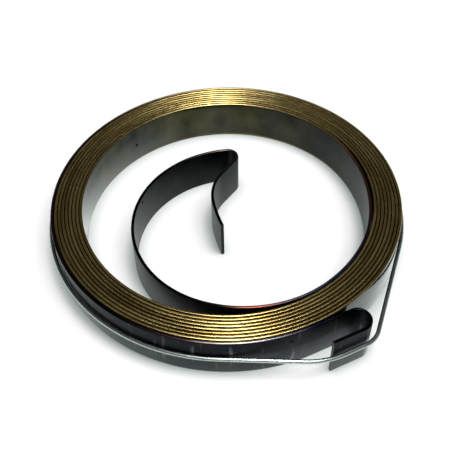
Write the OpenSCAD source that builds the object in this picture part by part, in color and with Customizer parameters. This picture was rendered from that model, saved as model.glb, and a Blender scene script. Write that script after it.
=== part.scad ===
// Recoil starter spring: one spring steel strip, wound flat and held closed by a wire.
// Z is the axis of the coil, the strip stands on its lower edge at z = 0,
// and the legs of the outer hook lie along X on the -Y side.

/* [Strip] */
// Width of the strip, which is the height of the coil
strip_width = 10.8; // [8:0.2:12]
// Thickness of the strip
strip_thickness = 0.75; // [0.6:0.05:0.8]
// How round the strip's long edges are, from square at 0 to half circles at 1
edge_roundness = 0.8; // [0.2:0.1:0.9]

/* [Coil] */
// Outer diameter of the wound coil where the outer hook leaves it
coil_diameter = 85.2; // [84:0.2:92]
// Clear gap from one wound turn to the next
turn_gap = 0.1; // [0.1:0.05:0.2]
// Number of full turns wound tight
tight_turns = 8; // [7:1:8]

/* [Slack turn] */
// Sweep of the innermost turn before it sags off the coil
slack_start = 70; // [60:1:75]
// Sweep of each of the two tighter bends beside the sag
slack_ease = 20; // [16:1:22]
// Sweep of the flatter bend in the middle of the sag
slack_flat = 36; // [30:1:40]
// How much smaller than the coil the tighter bends' radius is
slack_drop = 3.8; // [2:0.1:4.5]
// Sweep over which the turn lies against the coil again
slack_end = 20; // [16:1:24]

/* [Free loop] */
// Radius of the bend that leads away from the coil
lead_radius = 28.7; // [28:0.1:30]
// Sweep of the bend that leads away from the coil
lead_sweep = 56.5; // [54:0.5:58]
// Radius of the loop that bows across the middle
loop_radius = 24.8; // [24:0.1:25.5]
// Sweep of the loop
loop_sweep = 157; // [154:0.5:160]

/* [Inner hook] */
// Centreline radius of the inner hook's bend
inner_bend_radius = 2.4; // [2:0.1:3]
// Sweep of the inner hook's bend
inner_bend_sweep = 132; // [125:1:138]
// Length of the straight after the bend
inner_straight = 5.6; // [4:0.1:7]
// Radius of the tail's curve back towards the middle
tail_radius = 12.7; // [11:0.1:15]
// Sweep of the tail's curve
tail_sweep = 45; // [40:1:48]
// Radius of the nearly straight tip
tip_radius = 40; // [35:1:60]
// Sweep of the nearly straight tip
tip_sweep = 12; // [8:1:14]

/* [Outer hook] */
// Length of the leg that leaves the coil
outer_leg = 8.8; // [8:0.1:11]
// Centreline radius of the outer hook's bend
outer_bend_radius = 2.65; // [2.5:0.05:3]
// Length of the return leg
return_leg = 7.7; // [6.5:0.1:8.5]

/* [Retaining wire] */
// Diameter of the wire
wire_diameter = 1; // [0.8:0.05:1.2]
// Height of the wire's centre above the lower edge of the strip
wire_height = 6; // [3:0.1:7]
// Gap from the wire to the strip that it holds
wire_clearance = 0.05; // [0.05:0.01:0.15]
// Radius of the wire's bend round the hook
wire_hook_bend_radius = 6.3; // [5:0.1:8]
// Radius of the wire's easy bend past the free end of the hook
wire_end_bend_radius = 18; // [12:0.5:22]
// How far before the hook's free end the easy bend starts
wire_end_bend_lead = 2.7; // [1.5:0.1:3]
// Gap between the wire's butted ends at the back
wire_butt_gap = 0.4; // [0.2:0.1:1]

/* [Hidden] */
$fn = 96;
edge_steps = 2;
wire_sides = 12;
// How far the flats of a swept bend may lie from its true curve
bend_sag = 0.02;
edge_radius = edge_roundness * strip_thickness / 2;
pitch = strip_thickness + turn_gap;
front_y = (coil_diameter - strip_thickness) / 2;
half_turns = 2 * tight_turns + 1;
back_y = front_y - half_turns * pitch / 2;
// The centres of the half turns lie this far to either side of the axis
centre_shift = pitch / 4;
// The flatter bend's radius brings the sag back onto the coil's own circle
slack_rise = slack_drop * sin(slack_ease + slack_flat / 2) / sin(slack_flat / 2);
// From the middle of the strip to the middle of the wire
wire_stand_off = (strip_thickness + wire_diameter) / 2 + wire_clearance;
// The wire stands this much further off the return leg, so that its easy bend clears the leg's end
wire_lift = wire_end_bend_radius - sqrt(pow(wire_end_bend_radius, 2) - pow(wire_end_bend_lead, 2));
wire_front_y = -(front_y + 2 * outer_bend_radius + wire_stand_off + wire_lift);
// Centres of the wire's bend round the hook and of its easy bend
hook_bend_centre = [outer_leg, wire_front_y + wire_hook_bend_radius];
end_bend_centre = [
    outer_leg - return_leg + wire_end_bend_lead,
    wire_front_y + wire_end_bend_radius
];

// Centreline radius of half turn k, counted inwards from the outer hook
function turn_radius(k) = front_y - centre_shift - k * pitch / 2;

// Even half turns lie on the -X side and odd ones on the +X side
function turn_side(k) = k % 2 == 0 ? -1 : 1;
function turn_centre(k) = [0, turn_side(k) * centre_shift];

// One rounded corner of the strip's section, about its own centre
function corner(x, z, start) = [
    for (i = [0 : edge_steps])
        let (a = start + 90 * i / edge_steps)
            [x + edge_radius * cos(a), z + edge_radius * sin(a)]
];

// Section of the strip, with its lower edge on the X axis
function strip_outline() =
    let (side = strip_thickness / 2 - edge_radius, top = strip_width - edge_radius)
        concat(
            corner(side, top, 0),
            corner(-side, top, 90),
            corner(-side, edge_radius, 180),
            corner(side, edge_radius, 270)
        );

// Section of the wire
function wire_outline() = [
    for (i = [0 : wire_sides - 1])
        let (a = 360 * i / wire_sides)
            wire_diameter / 2 * [cos(a), sin(a)]
];

// A route is a start [x, y, heading] and a list of bends [radius, sweep]. A radius is
// positive for a right turn and negative for a left turn, and [0, length] is a straight.
// Where a bend leads from a place p on the route
function after(p, radius, angle) =
    let (heading = p[2] - sign(radius) * angle)
        radius == 0
            ? [p.x + angle * cos(p[2]), p.y + angle * sin(p[2]), p[2]]
            : [
                p.x + radius * (sin(p[2]) - sin(heading)),
                p.y - radius * (cos(p[2]) - cos(heading)),
                heading
            ];

// Number of flats that keep a bend within its sag
function flats(radius, angle) =
    radius == 0 ? 1 : ceil(angle / (2 * acos(1 - bend_sag / abs(radius))));

// Every place along the route from bend i on, p included
function places(p, bends, i = 0) =
    i == len(bends)
        ? [p]
        : let (radius = bends[i][0], angle = bends[i][1], n = flats(radius, angle))
            concat(
                [for (k = [0 : n - 1]) after(p, radius, angle * k / n)],
                places(after(p, radius, angle), bends, i + 1)
            );

// A closed tube of one section along a route, with the section's X to the left of the route
module swept(outline, start, bends) {
    route = places(start, bends);
    n = len(outline);
    last = (len(route) - 1) * n;
    points = [
        for (p = route)
            for (q = outline)
                [p.x - q.x * sin(p[2]), p.y + q.x * cos(p[2]), q.y]
    ];
    sides = [
        for (i = [0 : len(route) - 2])
            for (j = [0 : n - 1])
                let (next = (j + 1) % n)
                    [i * n + j, (i + 1) * n + j, (i + 1) * n + next, i * n + next]
    ];
    ends = [[for (j = [0 : n - 1]) j], [for (j = [n - 1 : -1 : 0]) last + j]];
    polyhedron(points, concat(sides, ends), convexity = 10);
}

// A stretch of the strip that is bent by an angle about Z, from -Y round towards +X
module bent_strip(radius, angle) {
    rotate(-90) rotate_extrude(angle = angle) translate([radius, 0]) polygon(strip_outline());
}

// A straight stretch of the strip along X
module straight_strip(length) {
    rotate([90, 0, 90]) linear_extrude(length) polygon(strip_outline());
}

// The tight turns, each half turn on its own centre so that they spiral inwards
module wound_coil() {
    for (k = [0 : half_turns - 1])
        translate(turn_centre(k)) rotate(k % 2 == 0 ? 180 : 0) bent_strip(turn_radius(k), 180);
}

// From the tight turns to the inner end: the slack turn, the free loop and the inner hook
module free_end() {
    r = turn_radius(half_turns);
    translate([0, back_y, 0]) swept(strip_outline(), [0, 0, 0], [
        [r, slack_start],
        [r - slack_drop, slack_ease],
        [r - slack_drop + slack_rise, slack_flat],
        [r - slack_drop, slack_ease],
        [r, slack_end],
        [lead_radius, lead_sweep],
        [loop_radius, loop_sweep],
        [inner_bend_radius, inner_bend_sweep],
        [0, inner_straight],
        [-tail_radius, tail_sweep],
        [-tip_radius, tip_sweep]
    ]);
}

// The strip's outer end, folded back on itself outside the coil
module outer_hook() {
    translate([0, -front_y, 0]) straight_strip(outer_leg);
    translate([outer_leg, -front_y - outer_bend_radius, 0]) bent_strip(outer_bend_radius, 180);
    translate([outer_leg - return_leg, -front_y - 2 * outer_bend_radius, 0]) straight_strip(return_leg);
}

module spring_strip() {
    color("dimgray") {
        wound_coil();
        free_end();
        outer_hook();
    }
}

// Radius at which the wire lies on half turn k
function wire_radius(k) = turn_radius(k) + wire_stand_off;

// Length of the wire's straight from a bend of radius r about c to half turn k
function tangent_length(k, c, r) = sqrt(pow(norm(c - turn_centre(k)), 2) - pow(wire_radius(k) - r, 2));

// Angle about the half turn's centre at which that straight meets the coil
function tangent_angle(k, c, r) =
    let (across = c - turn_centre(k))
        atan2(across.y, across.x) + turn_side(k) * acos((wire_radius(k) - r) / norm(across));

// Half of the butt gap, as a sweep on half turn k
function butt_sweep(k) = wire_butt_gap / 2 / wire_radius(k) * 180 / PI;

// From its butt joint at the back, the wire runs round the right of the coil, over the hook
// and back round the left of the coil
module retaining_wire() {
    right = tangent_angle(1, hook_bend_centre, wire_hook_bend_radius);
    left = tangent_angle(0, end_bend_centre, wire_end_bend_radius);
    begin = after([0, turn_centre(1).y + wire_radius(1), 0], wire_radius(1), butt_sweep(1));
    color("lightslategray") translate([0, 0, wire_height]) swept(wire_outline(), begin, [
        [wire_radius(1), 90 - right - butt_sweep(1)],
        [0, tangent_length(1, hook_bend_centre, wire_hook_bend_radius)],
        [wire_hook_bend_radius, 90 + right],
        [0, hook_bend_centre.x - end_bend_centre.x],
        [wire_end_bend_radius, -90 - left],
        [0, tangent_length(0, end_bend_centre, wire_end_bend_radius)],
        [wire_radius(0), 270 + left - butt_sweep(0)]
    ]);
}

spring_strip();
retaining_wire();
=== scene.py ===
"""A recoil starter spring: a steel strip wound on edge, held closed by a wire, on a pale floor."""

import math

import bpy
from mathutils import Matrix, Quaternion, Vector


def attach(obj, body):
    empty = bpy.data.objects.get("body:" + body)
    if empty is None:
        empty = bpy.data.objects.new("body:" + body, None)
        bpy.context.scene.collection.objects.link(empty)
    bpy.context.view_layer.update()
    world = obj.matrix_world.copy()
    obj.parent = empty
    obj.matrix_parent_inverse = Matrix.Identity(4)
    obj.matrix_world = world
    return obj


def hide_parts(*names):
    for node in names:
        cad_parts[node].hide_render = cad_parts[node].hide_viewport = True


bl_info = {
    "name": "Recoil Starter Spring",
    "version": (1, 0, 0),
    "blender": (4, 5, 0),
    "location": "View3D > Sidebar > Spring",
    "description": "Models a wound starter spring with its retaining wire and sets the studio",
    "category": "Add Mesh",
}

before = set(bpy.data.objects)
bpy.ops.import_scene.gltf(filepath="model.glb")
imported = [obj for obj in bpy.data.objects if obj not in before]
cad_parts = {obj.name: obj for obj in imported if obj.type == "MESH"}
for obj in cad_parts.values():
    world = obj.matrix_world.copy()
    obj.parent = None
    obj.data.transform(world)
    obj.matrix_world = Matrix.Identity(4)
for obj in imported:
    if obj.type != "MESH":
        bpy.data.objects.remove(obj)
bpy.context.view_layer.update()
STRIP_NODE = "spring_strip"
WIRE_NODE = "retaining_wire"
MM = 0.001

# One step of a bend, and the angle up to which neighbouring faces are shaded as one curve
STEP_ANGLE = math.radians(2.5)
SMOOTH_ANGLE = math.radians(40)
FEWEST_STEPS = 3
EDGE_SEGMENTS = 4
WIRE_SIDES = 20
# How far from the end of its route a swept piece may end
END_TOLERANCE = 0.01 * MM

# Waves of the grain to the metre, along the metal and upwards
LINE_WAVES = (30.0, 2600.0)
PATCH_WAVES = (70.0, 25.0)
CLOUD_WAVES = (190.0, 150.0)
SCUFF_WAVES = (620.0, 90.0)
SPANGLE_WAVES = (900.0, 900.0)
# The values between which most of a noise lies
NOISE_RANGE = (0.3, 0.7)
# Cells to the metre, the floor and the rim of a cell's pit, and the random value above which it has one
PIT_CELLS = 95.0
PIT_RIM = (0.034, 0.050)
PIT_CHANCE = 0.34

# How far the temper bands stray from their places, and the width of the bare sheared ends
BAND_DRIFT = 6 * MM
CUT_WIDTH = 0.12 * MM
# How far round its corner an edge is golden, and how much that strays. The dark shoulders between the
# golden crowns are partly the face's oxide and partly painted shade in the grooves between the turns
EDGE_RANGE = (0.40, 0.82)
EDGE_WEAR = 0.06
# Painted highlight along the foot: how much further round the lower edge is golden, and up to which
# height
FOOT_HIGHLIGHT = 0.4
FOOT_EDGE = 1.0 * MM
# The painted shade on the outermost turn, above the wire: from which height up it lies, where it fades,
# and its cover
UPPER_SHADE_HEIGHT = (5.2 * MM, 6.2 * MM)
UPPER_SHADE_FADE = (170 * MM, 130 * MM)
UPPER_SHADE_COVER = 0.9
# The painted reflection at the foot of the innermost tight turn, with its ends measured from the start
# of the slack turn
FOOT_START = (-125 * MM, -90 * MM)
FOOT_END = (-25 * MM, 5 * MM)
FOOT_HEIGHT = (8 * MM, 1 * MM)
FOOT_COVER = 0.9
# Where the scuffs on the outermost turn fade out, and how the noise makes them
SCUFF_FADE = (110 * MM, 60 * MM)
SCUFF_RANGE = (0.58, 0.80)
# Where along the strip the oxide turns from slate to olive
WARMING = (300 * MM, 1900 * MM)

# Roughness, from the smooth to the dull places
FACE_ROUGHNESS = (0.08, 0.13)
EDGE_ROUGHNESS = (0.24, 0.30)
ZINC_ROUGHNESS = (0.24, 0.34)
# Roughness that is added at the outer end, on the free end, in the painted shade above the wire and in
# a pit
OUTER_DULLING = 0.09
OUTER_FADE = (60 * MM, 160 * MM)
FREE_DULLING = 0.32
FREE_FADE = (5 * MM, 40 * MM)
UPPER_SHADE_DULLING = 0.25
PIT_DULLING = 0.7

# Upward share of a direction over which the sky dims, and over which the backdrop ends
SKY_CLIMB = (0.10, 0.50)
BACKDROP_CLIMB = (0.02, 0.08)
# Distance from the middle over which the floor turns plain white
FLOOR_FADE = (200 * MM, 700 * MM)
# How open to the sky the floor is from where metal shows it dark to where metal shows it white,
# and from where a shadow has its full tone to where the floor has none
MIRRORED_OPENNESS = (0.20, 0.50)
TINTED_OPENNESS = (0.5, 1.0)
FLOOR_WIDTH = 4.0
SENSOR_WIDTH = 36.0
NEAREST_SEEN = 10 * MM
WHITE = (1.0, 1.0, 1.0, 1.0)


def length(name, description, millimetres):
    """A property for a length, given in millimetres and kept in metres."""
    return bpy.props.FloatProperty(
        name=name, description=description, default=millimetres * MM, unit="LENGTH", precision=6
    )


def angle(name, description, degrees):
    """A property for an angle, given in degrees and kept in radians."""
    return bpy.props.FloatProperty(
        name=name, description=description, default=math.radians(degrees), subtype="ANGLE"
    )


def colour(name, description, rgb):
    """A property for a colour in linear values."""
    return bpy.props.FloatVectorProperty(
        name=name, description=description, default=rgb, subtype="COLOR", size=3, min=0.0, max=1.0
    )


def point(name, description, millimetres):
    """A property for a place, given in millimetres and kept in metres."""
    return bpy.props.FloatVectorProperty(
        name=name, description=description, default=[value * MM for value in millimetres],
        subtype="TRANSLATION", size=3, precision=6,
    )


def factor(name, description, value):
    """A property for a plain number."""
    return bpy.props.FloatProperty(name=name, description=description, default=value, min=0.0)


class StripSizes(bpy.types.PropertyGroup):
    """Sizes of the wound strip, from its outer hook to its inner hook."""

    width: length("Width", "Width of the strip, the height of the coil", 10.8)
    thickness: length("Thickness", "Thickness of the strip", 0.75)
    edge_roundness: factor("Edge roundness", "From square edges at 0 to half circles at 1", 0.8)
    coil_diameter: length("Coil diameter", "Outer diameter where the outer hook leaves", 85.2)
    turn_gap: length("Turn gap", "Clear gap between tight turns", 0.1)
    tight_turns: bpy.props.IntProperty(
        name="Tight turns", description="Number of full turns wound tight", default=8, min=1
    )
    return_leg: length("Return leg", "Length of the outer hook's return leg", 7.7)
    outer_bend: length("Outer bend", "Centreline radius of the outer hook's bend", 2.65)
    outer_leg: length("Outer leg", "Length of the leg that leaves the coil", 8.8)
    slack_start: angle("Slack start", "Sweep of the inner turn before it sags", 70)
    slack_ease: angle("Slack ease", "Sweep of each tighter bend beside the sag", 20)
    slack_flat: angle("Slack flat", "Sweep of the flatter bend in the sag", 36)
    slack_drop: length("Slack drop", "How much tighter the bends beside the sag are", 3.8)
    slack_end: angle("Slack end", "Sweep over which the turn touches the coil again", 20)
    lead_radius: length("Lead radius", "Radius of the bend that leaves the coil", 28.7)
    lead_sweep: angle("Lead sweep", "Sweep of the bend that leaves the coil", 56.5)
    loop_radius: length("Loop radius", "Radius of the free loop", 24.8)
    loop_sweep: angle("Loop sweep", "Sweep of the free loop", 157)
    inner_bend: length("Inner bend", "Centreline radius of the inner hook's bend", 2.4)
    inner_sweep: angle("Inner sweep", "Sweep of the inner hook's bend", 132)
    inner_straight: length("Inner straight", "Straight after the inner bend", 5.6)
    tail_radius: length("Tail radius", "Radius of the tail's curve", 12.7)
    tail_sweep: angle("Tail sweep", "Sweep of the tail's curve", 45)
    tip_radius: length("Tip radius", "Radius of the tail's tip", 40)
    tip_sweep: angle("Tip sweep", "Sweep of the tail's tip", 12)


class WireSizes(bpy.types.PropertyGroup):
    """Sizes of the wire that holds the coil closed."""

    diameter: length("Diameter", "Diameter of the wire", 1.0)
    height: length("Height", "Height of the wire's centre", 6.0)
    clearance: length("Clearance", "Gap from the wire to the strip", 0.05)
    hook_bend: length("Hook bend", "Radius of the bend round the hook", 6.3)
    end_bend: length("End bend", "Radius of the easy bend past the hook's free end", 18.0)
    end_lead: length("End lead", "How far before the hook's free end the easy bend starts", 2.7)
    butt_gap: length("Butt gap", "Gap between the wire's ends at the back", 0.4)


class Finishes(bpy.types.PropertyGroup):
    """Colours of the steel, as it reflects face on."""

    olive: colour("Olive oxide", "Warm oxide on the strip's faces", (0.057, 0.052, 0.029))
    slate: colour("Slate oxide", "Cool oxide on the strip's faces", (0.032, 0.036, 0.040))
    # The black oxide colour also paints the shade above the wire on the outermost turn
    black: colour("Black oxide", "Oxide where the ends were annealed", (0.005, 0.006, 0.009))
    straw: colour("Straw edge", "Golden temper colour of the edges", (0.68, 0.53, 0.20))
    bronze: colour("Bronze edge", "Darker temper colour of the edges", (0.44, 0.30, 0.095))
    purple: colour("Purple temper", "Purple bands towards both ends", (0.08, 0.042, 0.06))
    lilac: colour("Lilac temper", "Pale violet band near the ends", (0.38, 0.37, 0.42))
    blue: colour("Blue temper", "Blue band of the annealed ends", (0.06, 0.07, 0.19))
    red: colour("Red temper", "Red band where the free end leaves", (0.26, 0.06, 0.03))
    cream: colour("Cream temper", "Pale band between the red and the lilac", (0.70, 0.48, 0.36))
    # Painted reflection: a brighter face colour on the right of the outermost turn and at the foot of
    # the innermost tight turn
    painted_reflection: colour("Painted reflection", "Brighter stretches of the faces", (0.16, 0.165, 0.155))
    # Painted highlight: a lighter brownish-grey edge on the inner hook
    rim: colour("Rim highlight", "Edge of the inner hook", (0.13, 0.11, 0.09))
    scuff: colour("Scuff", "Bare metal in the scuffs", (0.16, 0.16, 0.16))
    pit: colour("Pit", "Dirt in the pits", (0.002, 0.002, 0.002))
    bare: colour("Bare steel", "Steel at the sheared ends", (0.015, 0.015, 0.016))
    zinc: colour("Wire zinc", "Fresh zinc of the wire", (0.50, 0.55, 0.52))
    dull_zinc: colour("Dull zinc", "Weathered zinc of the wire", (0.33, 0.38, 0.36))


class StudioLook(bpy.types.PropertyGroup):
    """Camera, light and floor."""

    azimuth: angle("Azimuth", "Camera's bearing about the coil", -25.0)
    elevation: angle("Elevation", "Camera's height above the floor", 47.816)
    distance: length("Distance", "Camera's distance from its target", 193.234)
    roll: angle("Roll", "Camera's roll", -1.301)
    lens: factor("Lens", "Focal length on a 36 mm sensor", 61.673)
    target: point("Target", "Point that the camera looks at", (-0.789, -0.268, 0.8))
    floor_tone: colour("Floor", "Tone of the floor", (0.95, 0.95, 0.95))
    floor_glow: factor("Floor glow", "Share of the floor's white that no lamp throws a shadow on", 0.60)
    contact: length("Contact shadow", "How far the shadow at the foot of a wall reaches", 3.2)
    floor_glow_tone: colour("Glow tone", "Tone of the floor's shadows", (0.88, 1.0, 0.96))
    sky: factor("Sky", "Strength of the light from above", 0.034)
    horizon: factor("Horizon", "Strength of the light from low down", 0.24)
    key: factor("Key", "Power of the long light overhead", 9.5)
    key_width: length("Key width", "Width of the long light", 200)
    key_length: length("Key length", "Length of the long light", 1100)
    key_place: point("Key place", "Where the long light is at azimuth 0", (40, -280, 1000))
    side: factor("Side", "Power of the light on the right", 18.0)
    side_width: length("Side width", "Width of the light on the right", 550)
    side_bearing: angle("Side bearing", "Bearing of the light from the camera's right", -24.0)
    side_height: angle("Side height", "Height of the light above the floor", 70.0)
    side_distance: length("Side distance", "Distance of the light from the middle", 1200)


def right_turn(place, heading, radius, sweep):
    """Centre, end and end heading of a bend. A positive radius turns right, a negative one left."""
    turned = heading - math.copysign(sweep, radius)
    centre = place + radius * Vector((math.sin(heading), -math.cos(heading)))
    end = centre + radius * Vector((-math.sin(turned), math.cos(turned)))
    return centre, end, turned


def front_y(sizes):
    """Distance from the axis to the strip's centreline where the outer hook leaves."""
    return (sizes.coil_diameter - sizes.thickness) / 2


def turn_radius(sizes, k):
    """Centreline radius of half turn k, counted inwards from the outer hook."""
    pitch = sizes.thickness + sizes.turn_gap
    return front_y(sizes) - pitch / 4 - k * pitch / 2


def turn_centre(sizes, k):
    """Centre of half turn k. The centres alternate so that the turns spiral inwards."""
    shift = (sizes.thickness + sizes.turn_gap) / 4
    return Vector((0.0, shift if k % 2 else -shift))


def wound_bends(sizes):
    """The outer hook and the tight turns as bends of (radius, sweep), from the strip's outer end.
    A straight is (0, length)."""
    half_turns = 2 * sizes.tight_turns + 1
    hook = [(0.0, sizes.return_leg), (-sizes.outer_bend, math.pi), (0.0, sizes.outer_leg)]
    return hook + [(turn_radius(sizes, k), math.pi) for k in range(half_turns)]


def free_bends(sizes):
    """The slack turn, the free loop and the inner hook as bends of (radius, sweep)."""
    inner = turn_radius(sizes, 2 * sizes.tight_turns + 1)
    ease = sizes.slack_ease
    flat = sizes.slack_flat
    rise = sizes.slack_drop * math.sin(ease + flat / 2) / math.sin(flat / 2)
    return [
        (inner, sizes.slack_start),
        (inner - sizes.slack_drop, ease),
        (inner - sizes.slack_drop + rise, flat),
        (inner - sizes.slack_drop, ease),
        (inner, sizes.slack_end),
        (sizes.lead_radius, sizes.lead_sweep),
        (sizes.loop_radius, sizes.loop_sweep),
        (sizes.inner_bend, sizes.inner_sweep),
        (0.0, sizes.inner_straight),
        (-sizes.tail_radius, sizes.tail_sweep),
        (-sizes.tip_radius, sizes.tip_sweep),
    ]


def wire_route(sizes, strip):
    """Start, heading and bends of the wire: from its butt joint at the back round the right of
    the coil, over the hook and back round the left."""
    stand_off = (strip.thickness + sizes.diameter) / 2 + sizes.clearance
    lift = sizes.end_bend - math.sqrt(sizes.end_bend ** 2 - sizes.end_lead ** 2)
    low_y = -(front_y(strip) + 2 * strip.outer_bend + stand_off + lift)
    hook_centre = Vector((strip.outer_leg, low_y + sizes.hook_bend))
    end_x = strip.outer_leg - strip.return_leg + sizes.end_lead
    end_centre = Vector((end_x, low_y + sizes.end_bend))
    radii = [turn_radius(strip, k) + stand_off for k in (0, 1)]
    angles = []
    straights = []
    meetings = ((0, end_centre, sizes.end_bend, -1), (1, hook_centre, sizes.hook_bend, 1))
    for k, centre, bend, side in meetings:
        across = centre - turn_centre(strip, k)
        over = radii[k] - bend
        angles.append(math.atan2(across.y, across.x) + side * math.acos(over / across.length))
        straights.append(math.sqrt(across.length_squared - over * over))
    left, right = angles
    butt = [sizes.butt_gap / 2 / radius for radius in radii]
    quarter = math.pi / 2
    back = turn_centre(strip, 1) + Vector((0.0, radii[1]))
    _, begin, heading = right_turn(back, 0.0, radii[1], butt[1])
    return begin, heading, [
        (radii[1], quarter - right - butt[1]),
        (0.0, straights[1]),
        (sizes.hook_bend, quarter + right),
        (0.0, hook_centre.x - end_centre.x),
        (sizes.end_bend, -quarter - left),
        (0.0, straights[0]),
        (radii[0], 3 * quarter + left - butt[0]),
    ]


def route_length(bends):
    """Length of a route."""
    return sum(abs(radius) * sweep if radius else sweep for radius, sweep in bends)


def deselect():
    """Leaves edit mode and deselects every object."""
    if bpy.context.object and bpy.context.object.mode != "OBJECT":
        bpy.ops.object.mode_set(mode="OBJECT")
    bpy.ops.object.select_all(action="DESELECT")


def name_piece(name):
    """Names the active object and its mesh."""
    piece = bpy.context.object
    piece.name = name
    piece.data.name = name
    return piece


def open_section():
    """Keeps only the outline of the active mesh, in edit mode and selected."""
    bpy.ops.object.mode_set(mode="OBJECT")
    bpy.ops.object.mode_set(mode="EDIT")
    bpy.ops.mesh.select_all(action="SELECT")
    bpy.ops.mesh.delete(type="ONLY_FACE")
    bpy.ops.mesh.select_mode(type="EDGE")
    bpy.ops.mesh.select_all(action="SELECT")


def sweep_along(place, heading, bends):
    """Spins and extrudes the selected outline along the bends, and returns the distance along
    the route at which each ring of vertices lies, and the place where the route ends."""
    run = 0.0
    rings = [run]
    for radius, sweep in bends:
        if radius == 0.0:
            move = Vector((math.cos(heading), math.sin(heading))) * sweep
            bpy.ops.mesh.extrude_region_move(TRANSFORM_OT_translate={"value": move.to_3d()})
            place = place + move
            run += sweep
            rings.append(run)
            continue
        centre, place, turned = right_turn(place, heading, radius, sweep)
        steps = max(FEWEST_STEPS, math.ceil(sweep / STEP_ANGLE))
        bpy.ops.mesh.spin(
            steps=steps, angle=sweep, center=centre.to_3d(), axis=(0.0, 0.0, math.copysign(1.0, radius))
        )
        rings += [run + abs(radius) * sweep * (i + 1) / steps for i in range(steps)]
        run += abs(radius) * sweep
        heading = turned
    return rings, place


def close_ends(piece, outline):
    """Fills the two open ends of a swept piece and turns its faces outwards."""
    count = len(piece.data.vertices)
    for first in (0, count - outline):
        bpy.ops.object.mode_set(mode="EDIT")
        bpy.ops.mesh.select_mode(type="VERT")
        bpy.ops.mesh.select_all(action="DESELECT")
        bpy.ops.object.mode_set(mode="OBJECT")
        for i in range(first, first + outline):
            piece.data.vertices[i].select = True
        bpy.ops.object.mode_set(mode="EDIT")
        bpy.ops.mesh.edge_face_add()
    bpy.ops.mesh.select_all(action="SELECT")
    bpy.ops.mesh.normals_make_consistent(inside=False)
    bpy.ops.object.mode_set(mode="OBJECT")


def check_end(piece, outline, place):
    """Stops if the last ring isn't where the route ends."""
    last = piece.data.vertices[len(piece.data.vertices) - outline:]
    middle = sum((v.co.xy for v in last), Vector((0.0, 0.0))) / outline
    if (middle - place).length > END_TOLERANCE:
        raise RuntimeError(f"{piece.name} ends at {middle}, not at {place}")


def write_attribute(piece, name, values):
    """Stores one number for each vertex."""
    layer = piece.data.attributes.new(name, "FLOAT", "POINT")
    layer.data.foreach_set("value", values)


def sweep_piece(piece, begin, heading, bends):
    """Sweeps the active outline along its route, and stores the distance along it."""
    open_section()
    outline = len(piece.data.vertices)
    rings, place = sweep_along(begin, heading, bends)
    bpy.ops.object.mode_set(mode="OBJECT")
    check_end(piece, outline, place)
    close_ends(piece, outline)
    write_attribute(piece, "along", [ring for ring in rings for _ in range(outline)])
    bpy.ops.object.shade_smooth_by_angle(angle=SMOOTH_ANGLE)


class NodeBuilder:
    """Short calls for making a material's nodes."""

    def __init__(self, tree):
        self.tree = tree

    def add(self, kind, **values):
        """Adds a node. Values named after its sockets or properties are set or linked."""
        node = self.tree.nodes.new(kind)
        for key, value in values.items():
            self.put(node, key, value)
        return node

    def put(self, node, key, value):
        """Sets a property, a socket's value, or links a socket."""
        if isinstance(key, str) and hasattr(node, key):
            setattr(node, key, value)
            return
        socket = node.inputs[key]
        if isinstance(value, bpy.types.NodeSocket):
            self.tree.links.new(value, socket)
        else:
            socket.default_value = value

    def fill(self, node, values):
        """Sets or links a node's first sockets in their order."""
        for i, value in enumerate(values):
            self.put(node, i, value)

    def math(self, operation, *values):
        """The result of one operation on up to three values."""
        node = self.add("ShaderNodeMath", operation=operation)
        self.fill(node, values)
        return node.outputs[0]

    def span(self, value, given, wanted=(0.0, 1.0)):
        """A value brought from a given range to a wanted one, and held within it."""
        node = self.add("ShaderNodeMapRange")
        self.fill(node, (value, *given, *wanted))
        return node.outputs[0]

    def vector(self, x, y):
        """A vector from two values."""
        node = self.add("ShaderNodeCombineXYZ")
        self.fill(node, (x, y))
        return node.outputs[0]

    def noise(self, along, height, waves, detail):
        """A cloudy value between 0 and 1, with so many waves to the metre along and upwards."""
        far = self.math("MULTIPLY", along, waves[0])
        up = self.math("MULTIPLY", height, waves[1])
        node = self.add("ShaderNodeTexNoise", Vector=self.vector(far, up), Scale=1.0, Detail=detail)
        return node.outputs[0]

    def between(self, share, first, second):
        """A number between two others."""
        node = self.add("ShaderNodeMix", data_type="FLOAT")
        for key, value in ((0, share), (2, first), (3, second)):
            self.put(node, key, value)
        return node.outputs[0]

    def blend(self, share, first, second, how="MIX"):
        """A colour between two others."""
        node = self.add("ShaderNodeMix", data_type="RGBA", blend_type=how)
        for key, value in ((0, share), (6, first), (7, second)):
            self.put(node, key, value)
        return node.outputs[2]

    def bands(self, place, stops):
        """A colour and its cover, read from stops of (place, colour, cover)."""
        node = self.add("ShaderNodeValToRGB", Fac=place)
        marks = node.color_ramp.elements
        # New marks start in the middle, and each is then moved to its stop
        while len(marks) < len(stops):
            marks.new(0.5)
        for mark, (spot, tone, cover) in zip(marks, stops):
            mark.position = spot
            mark.color = (*tone, cover)
        return node.outputs["Color"], node.outputs["Alpha"]


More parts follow.
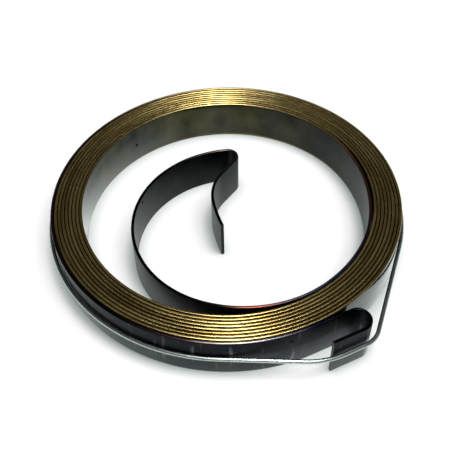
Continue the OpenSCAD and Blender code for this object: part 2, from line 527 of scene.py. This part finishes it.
class SPRING_OT_strip(bpy.types.Operator):
    """Models the wound strip with both of its hooks"""

    bl_idname = "spring.strip"
    bl_label = "Wound Strip"

    def execute(self, context):
        sizes = context.scene.spring_strip
        deselect()
        begin = Vector((sizes.outer_leg - sizes.return_leg, -front_y(sizes) - 2 * sizes.outer_bend))
        bpy.ops.mesh.primitive_plane_add(size=1.0, rotation=(math.pi / 2, 0.0, math.pi / 2))
        piece = name_piece("wound_strip")
        piece.scale = (sizes.thickness, sizes.width, 1.0)
        piece.location = (begin.x, begin.y, sizes.width / 2)
        bpy.ops.object.transform_apply(location=True, rotation=True, scale=True)
        bpy.ops.object.mode_set(mode="EDIT")
        bpy.ops.mesh.select_all(action="SELECT")
        rounding = sizes.edge_roundness * sizes.thickness / 2
        bpy.ops.mesh.bevel(offset=rounding, segments=EDGE_SEGMENTS, affect="VERTICES")
        wound = wound_bends(sizes)
        free = free_bends(sizes)
        sweep_piece(piece, begin, 0.0, wound + free)
        middle = sizes.width / 2
        face_half = middle - rounding
        climbs = [(abs(v.co.z - middle) - face_half) / rounding for v in piece.data.vertices]
        write_attribute(piece, "crown", [min(1.0, max(0.0, climb)) for climb in climbs])
        slack = route_length(wound)
        total = slack + route_length(free)
        piece.data.materials.append(strip_steel(context.scene.spring_finishes, slack, total))
        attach(piece, "root")
        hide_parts(STRIP_NODE)
        return {"FINISHED"}


class SPRING_OT_wire(bpy.types.Operator):
    """Models the wire that holds the coil closed"""

    bl_idname = "spring.wire"
    bl_label = "Retaining Wire"

    def execute(self, context):
        sizes = context.scene.spring_wire
        begin, heading, bends = wire_route(sizes, context.scene.spring_strip)
        deselect()
        bpy.ops.mesh.primitive_circle_add(
            vertices=WIRE_SIDES, radius=sizes.diameter / 2, rotation=(0.0, math.pi / 2, heading),
            location=(begin.x, begin.y, sizes.height),
        )
        piece = name_piece("holding_wire")
        bpy.ops.object.transform_apply(location=True, rotation=True, scale=True)
        sweep_piece(piece, begin, heading, bends)
        piece.data.materials.append(wire_zinc(context.scene.spring_finishes))
        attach(piece, "root")
        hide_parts(WIRE_NODE)
        return {"FINISHED"}


def empty_material(name):
    """A material without nodes, and its node builder."""
    material = bpy.data.materials.new(name)
    material.use_nodes = True
    material.node_tree.nodes.clear()
    return material, NodeBuilder(material.node_tree)


def bare_metal(name):
    """A metal without a colour yet, with its node builder and its Principled shader."""
    material, build = empty_material(name)
    shader = build.add("ShaderNodeBsdfPrincipled")
    shader.inputs["Metallic"].default_value = 1.0
    build.add("ShaderNodeOutputMaterial", Surface=shader.outputs["BSDF"])
    return material, build, shader


def value_group(name, inputs, outputs):
    """An empty node group with number sockets, its builder, and its input and output nodes."""
    group = bpy.data.node_groups.new(name, "ShaderNodeTree")
    for title in inputs:
        group.interface.new_socket(title, in_out="INPUT", socket_type="NodeSocketFloat")
    for title in outputs:
        group.interface.new_socket(title, in_out="OUTPUT", socket_type="NodeSocketFloat")
    build = NodeBuilder(group)
    return group, build, build.add("NodeGroupInput"), build.add("NodeGroupOutput")


def rolled_grain():
    """The shared group for drawn metal: fine lines lengthwise, patches, clouds and small pits."""
    if "rolled_grain" in bpy.data.node_groups:
        return bpy.data.node_groups["rolled_grain"]
    group, build, given, result = value_group(
        "rolled_grain", ("Along", "Height"), ("Lines", "Patches", "Cloud", "Pits")
    )
    along = given.outputs["Along"]
    height = given.outputs["Height"]
    build.put(result, "Lines", build.noise(along, height, LINE_WAVES, 3.0))
    build.put(result, "Patches", build.noise(along, height, PATCH_WAVES, 2.0))
    build.put(result, "Cloud", build.noise(along, height, CLOUD_WAVES, 4.0))
    cells = build.add(
        "ShaderNodeTexVoronoi", Vector=build.vector(along, height), Scale=PIT_CELLS, Randomness=1.0
    )
    pit = build.span(cells.outputs["Distance"], PIT_RIM, (1.0, 0.0))
    chance = build.math("GREATER_THAN", cells.outputs["Color"], PIT_CHANCE)
    build.put(result, "Pits", build.math("MULTIPLY", pit, chance))
    return group


def surface_grain(build):
    """The shared grain on this material's own surface, with the distance along and the height."""
    along = build.add("ShaderNodeAttribute", attribute_name="along").outputs["Fac"]
    place = build.add("ShaderNodeTexCoord").outputs["Object"]
    height = build.add("ShaderNodeSeparateXYZ", Vector=place).outputs["Z"]
    grain = build.add("ShaderNodeGroup", node_tree=rolled_grain())
    build.put(grain, "Along", along)
    build.put(grain, "Height", height)
    return grain.outputs, along, height


def tempered_stops(marks, total):
    """Stops of a temper band, from marks of (distance, colour, cover)."""
    return [(distance / total, tone, cover) for distance, tone, cover in marks]


def edge_colour(build, grain, spot, finishes, slack, total):
    """Straw edges that turn purple, blue and black towards the annealed ends."""
    gold = build.blend(
        build.span(grain["Patches"], (0.40, 0.64)), (*finishes.straw, 1.0), (*finishes.bronze, 1.0)
    )
    tone, cover = build.bands(spot, tempered_stops([
        (0.0, finishes.black, 1.0),
        (24 * MM, finishes.black, 1.0),
        (30 * MM, finishes.blue, 1.0),
        (42 * MM, finishes.lilac, 0.6),
        (52 * MM, finishes.purple, 1.0),
        (70 * MM, finishes.black, 1.0),
        (110 * MM, finishes.purple, 1.0),
        (150 * MM, finishes.purple, 0.85),
        (205 * MM, finishes.bronze, 0.0),
        (slack + 42 * MM, finishes.bronze, 0.0),
        (slack + 56 * MM, finishes.red, 0.8),
        (slack + 80 * MM, finishes.purple, 1.0),
        (slack + 98 * MM, finishes.blue, 1.0),
        (slack + 107 * MM, finishes.blue, 1.0),
        (slack + 111 * MM, finishes.lilac, 1.0),
        (slack + 114 * MM, finishes.cream, 1.0),
        (slack + 117 * MM, finishes.red, 1.0),
        (slack + 124 * MM, finishes.black, 1.0),
        (slack + 180 * MM, finishes.black, 1.0),
        # Painted highlight: the lighter rim on the inner hook's edge
        (slack + 198 * MM, finishes.rim, 1.0),
        (slack + 212 * MM, finishes.black, 1.0),
    ], total))
    return build.blend(cover, gold, tone)


def painted_upper_shade(build, along, height):
    """Cover of the painted shade on the outermost turn, above the wire."""
    above = build.span(height, UPPER_SHADE_HEIGHT, (0.0, UPPER_SHADE_COVER))
    return build.math("MULTIPLY", above, build.span(along, UPPER_SHADE_FADE))


def painted_foot_reflection(build, along, height, slack):
    """Cover of the painted reflection at the foot of the innermost tight turn."""
    start = build.span(along, [slack + place for place in FOOT_START])
    end = build.span(along, [slack + place for place in FOOT_END])
    window = build.math("SUBTRACT", start, end)
    return build.math("MULTIPLY", window, build.span(height, FOOT_HEIGHT, (0.0, FOOT_COVER)))


def scuffs(build, along, height):
    """Cover of the upright scuffs on the outermost turn."""
    smear = build.noise(along, height, SCUFF_WAVES, 4.0)
    return build.math("MULTIPLY", build.span(smear, SCUFF_RANGE), build.span(along, SCUFF_FADE))


def face_colour(build, grain, along, height, spot, finishes, slack, total):
    """Cloudy oxide on the faces, blacker towards the annealed ends, with scuffs and pits, painted shade
    above the wire on the outermost turn, and painted reflections on that turn's right and at the foot
    of the innermost tight turn.
    """
    patchy = build.span(grain["Patches"], (0.36, 0.64), (1.0, 0.2))
    warmth = build.math("MULTIPLY", patchy, build.span(along, WARMING))
    oxide = build.blend(warmth, (*finishes.slate, 1.0), (*finishes.olive, 1.0))
    shade = build.span(grain["Cloud"], NOISE_RANGE, (0.5, 1.35))
    cloudy = build.blend(0.85, oxide, shade, how="MULTIPLY")
    tone, cover = build.bands(spot, tempered_stops([
        (0.0, finishes.black, 1.0),
        (26 * MM, finishes.black, 0.9),
        (38 * MM, finishes.black, 0.55),
        (60 * MM, finishes.black, 0.45),
        (120 * MM, finishes.black, 0.40),
        # Painted reflection: a brighter stretch on the right of the outermost turn
        (160 * MM, finishes.painted_reflection, 0.0),
        (215 * MM, finishes.painted_reflection, 0.5),
        (290 * MM, finishes.painted_reflection, 0.5),
        (350 * MM, finishes.painted_reflection, 0.0),
        (slack + 18 * MM, finishes.black, 0.0),
        (slack + 46 * MM, finishes.black, 0.6),
        (slack + 74 * MM, finishes.black, 0.75),
        (slack + 112 * MM, finishes.black, 0.95),
        (slack + 140 * MM, finishes.black, 0.45),
        (slack + 160 * MM, finishes.black, 0.95),
        (slack + 200 * MM, finishes.black, 0.95),
        (slack + 214 * MM, finishes.black, 0.85),
    ], total))
    worn = build.math("MULTIPLY", cover, build.span(grain["Cloud"], (0.35, 0.70), (1.0, 0.72)))
    face = build.blend(worn, cloudy, tone)
    for mask, finish in (
        # Painted shade: black above the wire on the outermost turn, where its face shows darker
        (painted_upper_shade(build, along, height), finishes.black),
        # Painted reflection: brighter foot of the innermost tight turn
        (painted_foot_reflection(build, along, height, slack), finishes.painted_reflection),
        (scuffs(build, along, height), finishes.scuff),
        (grain["Pits"], finishes.pit),
    ):
        face = build.blend(mask, face, (*finish, 1.0))
    return face


def face_roughness(build, grain, along, height, slack):
    """Smooth faces, duller towards both ends, in the painted shade above the wire and in the pits."""
    rough = build.span(along, OUTER_FADE, (OUTER_DULLING, 0.0))
    free = build.span(along, [slack + place for place in FREE_FADE], (0.0, FREE_DULLING))
    rough = build.math("ADD", rough, free)
    rough = build.math("MULTIPLY_ADD", painted_upper_shade(build, along, height), UPPER_SHADE_DULLING, rough)
    rough = build.math("MULTIPLY_ADD", grain["Pits"], PIT_DULLING, rough)
    return build.math("ADD", rough, build.span(grain["Cloud"], NOISE_RANGE, FACE_ROUGHNESS))


def strip_steel(finishes, slack, total):
    """Oxidised spring strip with golden edges and annealed ends. The slack turn's start and the
    strip's whole length place the colours."""
    material, build, shader = bare_metal("strip_steel")
    grain, along, height = surface_grain(build)
    drift = build.span(grain["Cloud"], (0.0, 1.0), (-BAND_DRIFT, BAND_DRIFT))
    spot = build.math("DIVIDE", build.math("ADD", along, drift), total)
    crown = build.add("ShaderNodeAttribute", attribute_name="crown").outputs["Fac"]
    rubbed = build.math("ADD", crown, build.span(grain["Lines"], NOISE_RANGE, (-EDGE_WEAR, EDGE_WEAR)))
    # The edge's golden temper is its own colour; taking it further round near the floor is a painted
    # highlight along the foot
    foot_highlight = build.math("MULTIPLY", build.math("LESS_THAN", height, FOOT_EDGE), FOOT_HIGHLIGHT)
    # Partly painted shade: the edge's shoulders keep the dark face colour, so the grooves between the
    # turns look darker
    edge = build.span(build.math("ADD", rubbed, foot_highlight), EDGE_RANGE)
    tone = build.blend(
        edge,
        face_colour(build, grain, along, height, spot, finishes, slack, total),
        edge_colour(build, grain, spot, finishes, slack, total),
    )
    cut = build.math(
        "MAXIMUM",
        build.math("LESS_THAN", along, CUT_WIDTH),
        build.math("GREATER_THAN", along, total - CUT_WIDTH),
    )
    sheared = build.blend(cut, tone, (*finishes.bare, 1.0))
    streaks = build.span(grain["Lines"], NOISE_RANGE, (0.6, 1.3))
    build.put(shader, "Base Color", build.blend(0.35, sheared, streaks, how="MULTIPLY"))
    face_rough = face_roughness(build, grain, along, height, slack)
    edge_rough = build.span(grain["Lines"], NOISE_RANGE, EDGE_ROUGHNESS)
    build.put(shader, "Roughness", build.between(edge, face_rough, edge_rough))
    relief = build.math("SUBTRACT", grain["Lines"], build.math("MULTIPLY", grain["Pits"], 2.0))
    bump = build.add("ShaderNodeBump", Strength=0.03, Distance=0.1 * MM, Height=relief)
    build.put(shader, "Normal", bump.outputs[0])
    return material


def wire_zinc(finishes):
    """Dull mottled zinc on the wire."""
    material, build, shader = bare_metal("wire_zinc")
    grain, along, height = surface_grain(build)
    spangle = build.noise(along, height, SPANGLE_WAVES, 3.0)
    mottle = build.math("MULTIPLY", build.math("ADD", spangle, grain["Patches"]), 0.5)
    tone = build.blend(
        build.span(mottle, (0.38, 0.62)), (*finishes.zinc, 1.0), (*finishes.dull_zinc, 1.0)
    )
    build.put(shader, "Base Color", tone)
    build.put(shader, "Roughness", build.span(mottle, (0.35, 0.65), ZINC_ROUGHNESS))
    relief = build.math("ADD", grain["Lines"], spangle)
    bump = build.add("ShaderNodeBump", Strength=0.01, Distance=0.02 * MM, Height=relief)
    build.put(shader, "Normal", bump.outputs[0])
    return material


class SPRING_OT_stage(bpy.types.Operator):
    """Sets the floor, the lights and the camera"""

    bl_idname = "spring.stage"
    bl_label = "Studio"

    def execute(self, context):
        look = context.scene.spring_studio
        deselect()
        bpy.ops.mesh.primitive_plane_add(size=FLOOR_WIDTH)
        floor = name_piece("studio_floor")
        floor.data.materials.append(floor_white(look))
        sky(context.scene, look)
        key_light(look)
        side_light(look)
        camera(context.scene, look)
        context.scene.view_settings.view_transform = "Standard"
        return {"FINISHED"}


def light_path(build):
    """Two masks: rays straight from the camera, and rays that come by way of metal or glass."""
    path = build.add("ShaderNodeLightPath").outputs
    onward = build.math("MAXIMUM", path["Is Glossy Ray"], path["Is Transmission Ray"])
    return path["Is Camera Ray"], onward


def floor_white(look):
    """White floor that keeps the shadows of what stands on it. Metal shows it without the faint
    shadow that surrounds each wall, but dark in the gaps between the turns."""
    material, build = empty_material("studio_floor")
    rough = build.add("ShaderNodeBsdfDiffuse", Color=(*look.floor_tone, 1.0))
    direct, onward = light_path(build)
    open_sky = build.add("ShaderNodeAmbientOcclusion", Distance=look.contact).outputs["AO"]
    mirrored = build.math("MULTIPLY", onward, build.span(open_sky, MIRRORED_OPENNESS))
    lit = build.math("MAXIMUM", open_sky, mirrored)
    pure = build.math("SUBTRACT", build.span(lit, TINTED_OPENNESS), mirrored)
    tint = build.blend(pure, (*look.floor_glow_tone, 1.0), WHITE)
    glow = build.add("ShaderNodeEmission", Color=tint, Strength=lit)
    seen = build.math("MAXIMUM", direct, onward)
    place = build.add("ShaderNodeTexCoord").outputs["Object"]
    away = build.add("ShaderNodeVectorMath", operation="LENGTH")
    build.put(away, 0, place)
    share = build.span(away.outputs["Value"], FLOOR_FADE, (look.floor_glow, 1.0))
    both = build.add("ShaderNodeMixShader")
    build.fill(both, (build.math("MULTIPLY", seen, share), rough.outputs[0], glow.outputs[0]))
    build.add("ShaderNodeOutputMaterial", Surface=both.outputs[0])
    return material


def sky(scene, look):
    """A dim sky that is brighter low down, with a white backdrop."""
    world = bpy.data.worlds.new("studio_sky")
    scene.world = world
    world.use_nodes = True
    world.node_tree.nodes.clear()
    build = NodeBuilder(world.node_tree)
    way = build.add("ShaderNodeTexCoord").outputs["Generated"]
    climb = build.add("ShaderNodeSeparateXYZ", Vector=way).outputs["Z"]
    glow = build.span(climb, SKY_CLIMB, (look.horizon, look.sky))
    direct, onward = light_path(build)
    backdrop = build.math("MULTIPLY", onward, build.span(climb, BACKDROP_CLIMB, (1.0, 0.0)))
    white = build.math("MAXIMUM", direct, backdrop)
    strength = build.math("MAXIMUM", glow, white)
    light = build.add("ShaderNodeBackground", Color=WHITE, Strength=strength)
    build.add("ShaderNodeOutputWorld", Surface=light.outputs[0])


def key_light(look):
    """A long level light that faces down from above, seen only as a reflection in the metal."""
    place = Vector(look.key_place)
    place.rotate(Quaternion((0.0, 0.0, 1.0), look.azimuth))
    bpy.ops.object.light_add(type="AREA", location=place, rotation=(0.0, 0.0, look.azimuth))
    light = bpy.context.object
    light.name = "key_light"
    light.data.energy = look.key
    light.data.shape = "RECTANGLE"
    light.data.size = look.key_width
    light.data.size_y = look.key_length
    light.visible_diffuse = False


def side_light(look):
    """A square light that faces the middle of the floor from the right, and that no metal reflects."""
    bearing = look.azimuth + look.side_bearing
    level = math.cos(look.side_height)
    place = look.side_distance * Vector((
        math.cos(bearing) * level, math.sin(bearing) * level, math.sin(look.side_height)
    ))
    bpy.ops.object.light_add(type="AREA", location=place)
    light = bpy.context.object
    light.name = "side_light"
    light.data.energy = look.side
    light.data.size = look.side_width
    light.rotation_euler = place.to_track_quat("Z", "Y").to_euler()
    light.visible_glossy = False


def camera(scene, look):
    """Camera at the picture's angle."""
    level = math.cos(look.elevation)
    back = Vector((
        math.sin(look.azimuth) * level, -math.cos(look.azimuth) * level, math.sin(look.elevation)
    ))
    bpy.ops.object.camera_add(location=Vector(look.target) + back * look.distance)
    eye = bpy.context.object
    eye.name = "picture_camera"
    eye.rotation_mode = "QUATERNION"
    eye.rotation_quaternion = (-back).to_track_quat("-Z", "Y") @ Quaternion((0, 0, 1), look.roll)
    eye.data.lens = look.lens
    eye.data.sensor_width = SENSOR_WIDTH
    eye.data.clip_start = NEAREST_SEEN
    scene.camera = eye


class SPRING_PT_panel(bpy.types.Panel):
    """Lists the spring's pieces"""

    bl_idname = "SPRING_PT_panel"
    bl_label = "Starter Spring"
    bl_space_type = "VIEW_3D"
    bl_region_type = "UI"
    bl_category = "Spring"

    def draw(self, context):
        for operator in PIECES:
            self.layout.operator(operator.bl_idname)


GROUPS = {
    "spring_strip": StripSizes,
    "spring_wire": WireSizes,
    "spring_finishes": Finishes,
    "spring_studio": StudioLook,
}
PIECES = (SPRING_OT_strip, SPRING_OT_wire, SPRING_OT_stage)
CLASSES = (*GROUPS.values(), *PIECES, SPRING_PT_panel)


def register():
    """Registers the classes and the scene's property groups."""
    for cls in CLASSES:
        bpy.utils.register_class(cls)
    for name, group in GROUPS.items():
        setattr(bpy.types.Scene, name, bpy.props.PointerProperty(type=group))


def unregister():
    """Takes the property groups and the classes away again."""
    for name in GROUPS:
        delattr(bpy.types.Scene, name)
    for cls in reversed(CLASSES):
        bpy.utils.unregister_class(cls)


def main():
    """Makes the spring and its studio."""
    register()
    bpy.ops.spring.strip()
    bpy.ops.spring.wire()
    bpy.ops.spring.stage()


if __name__ == "__main__":
    main()
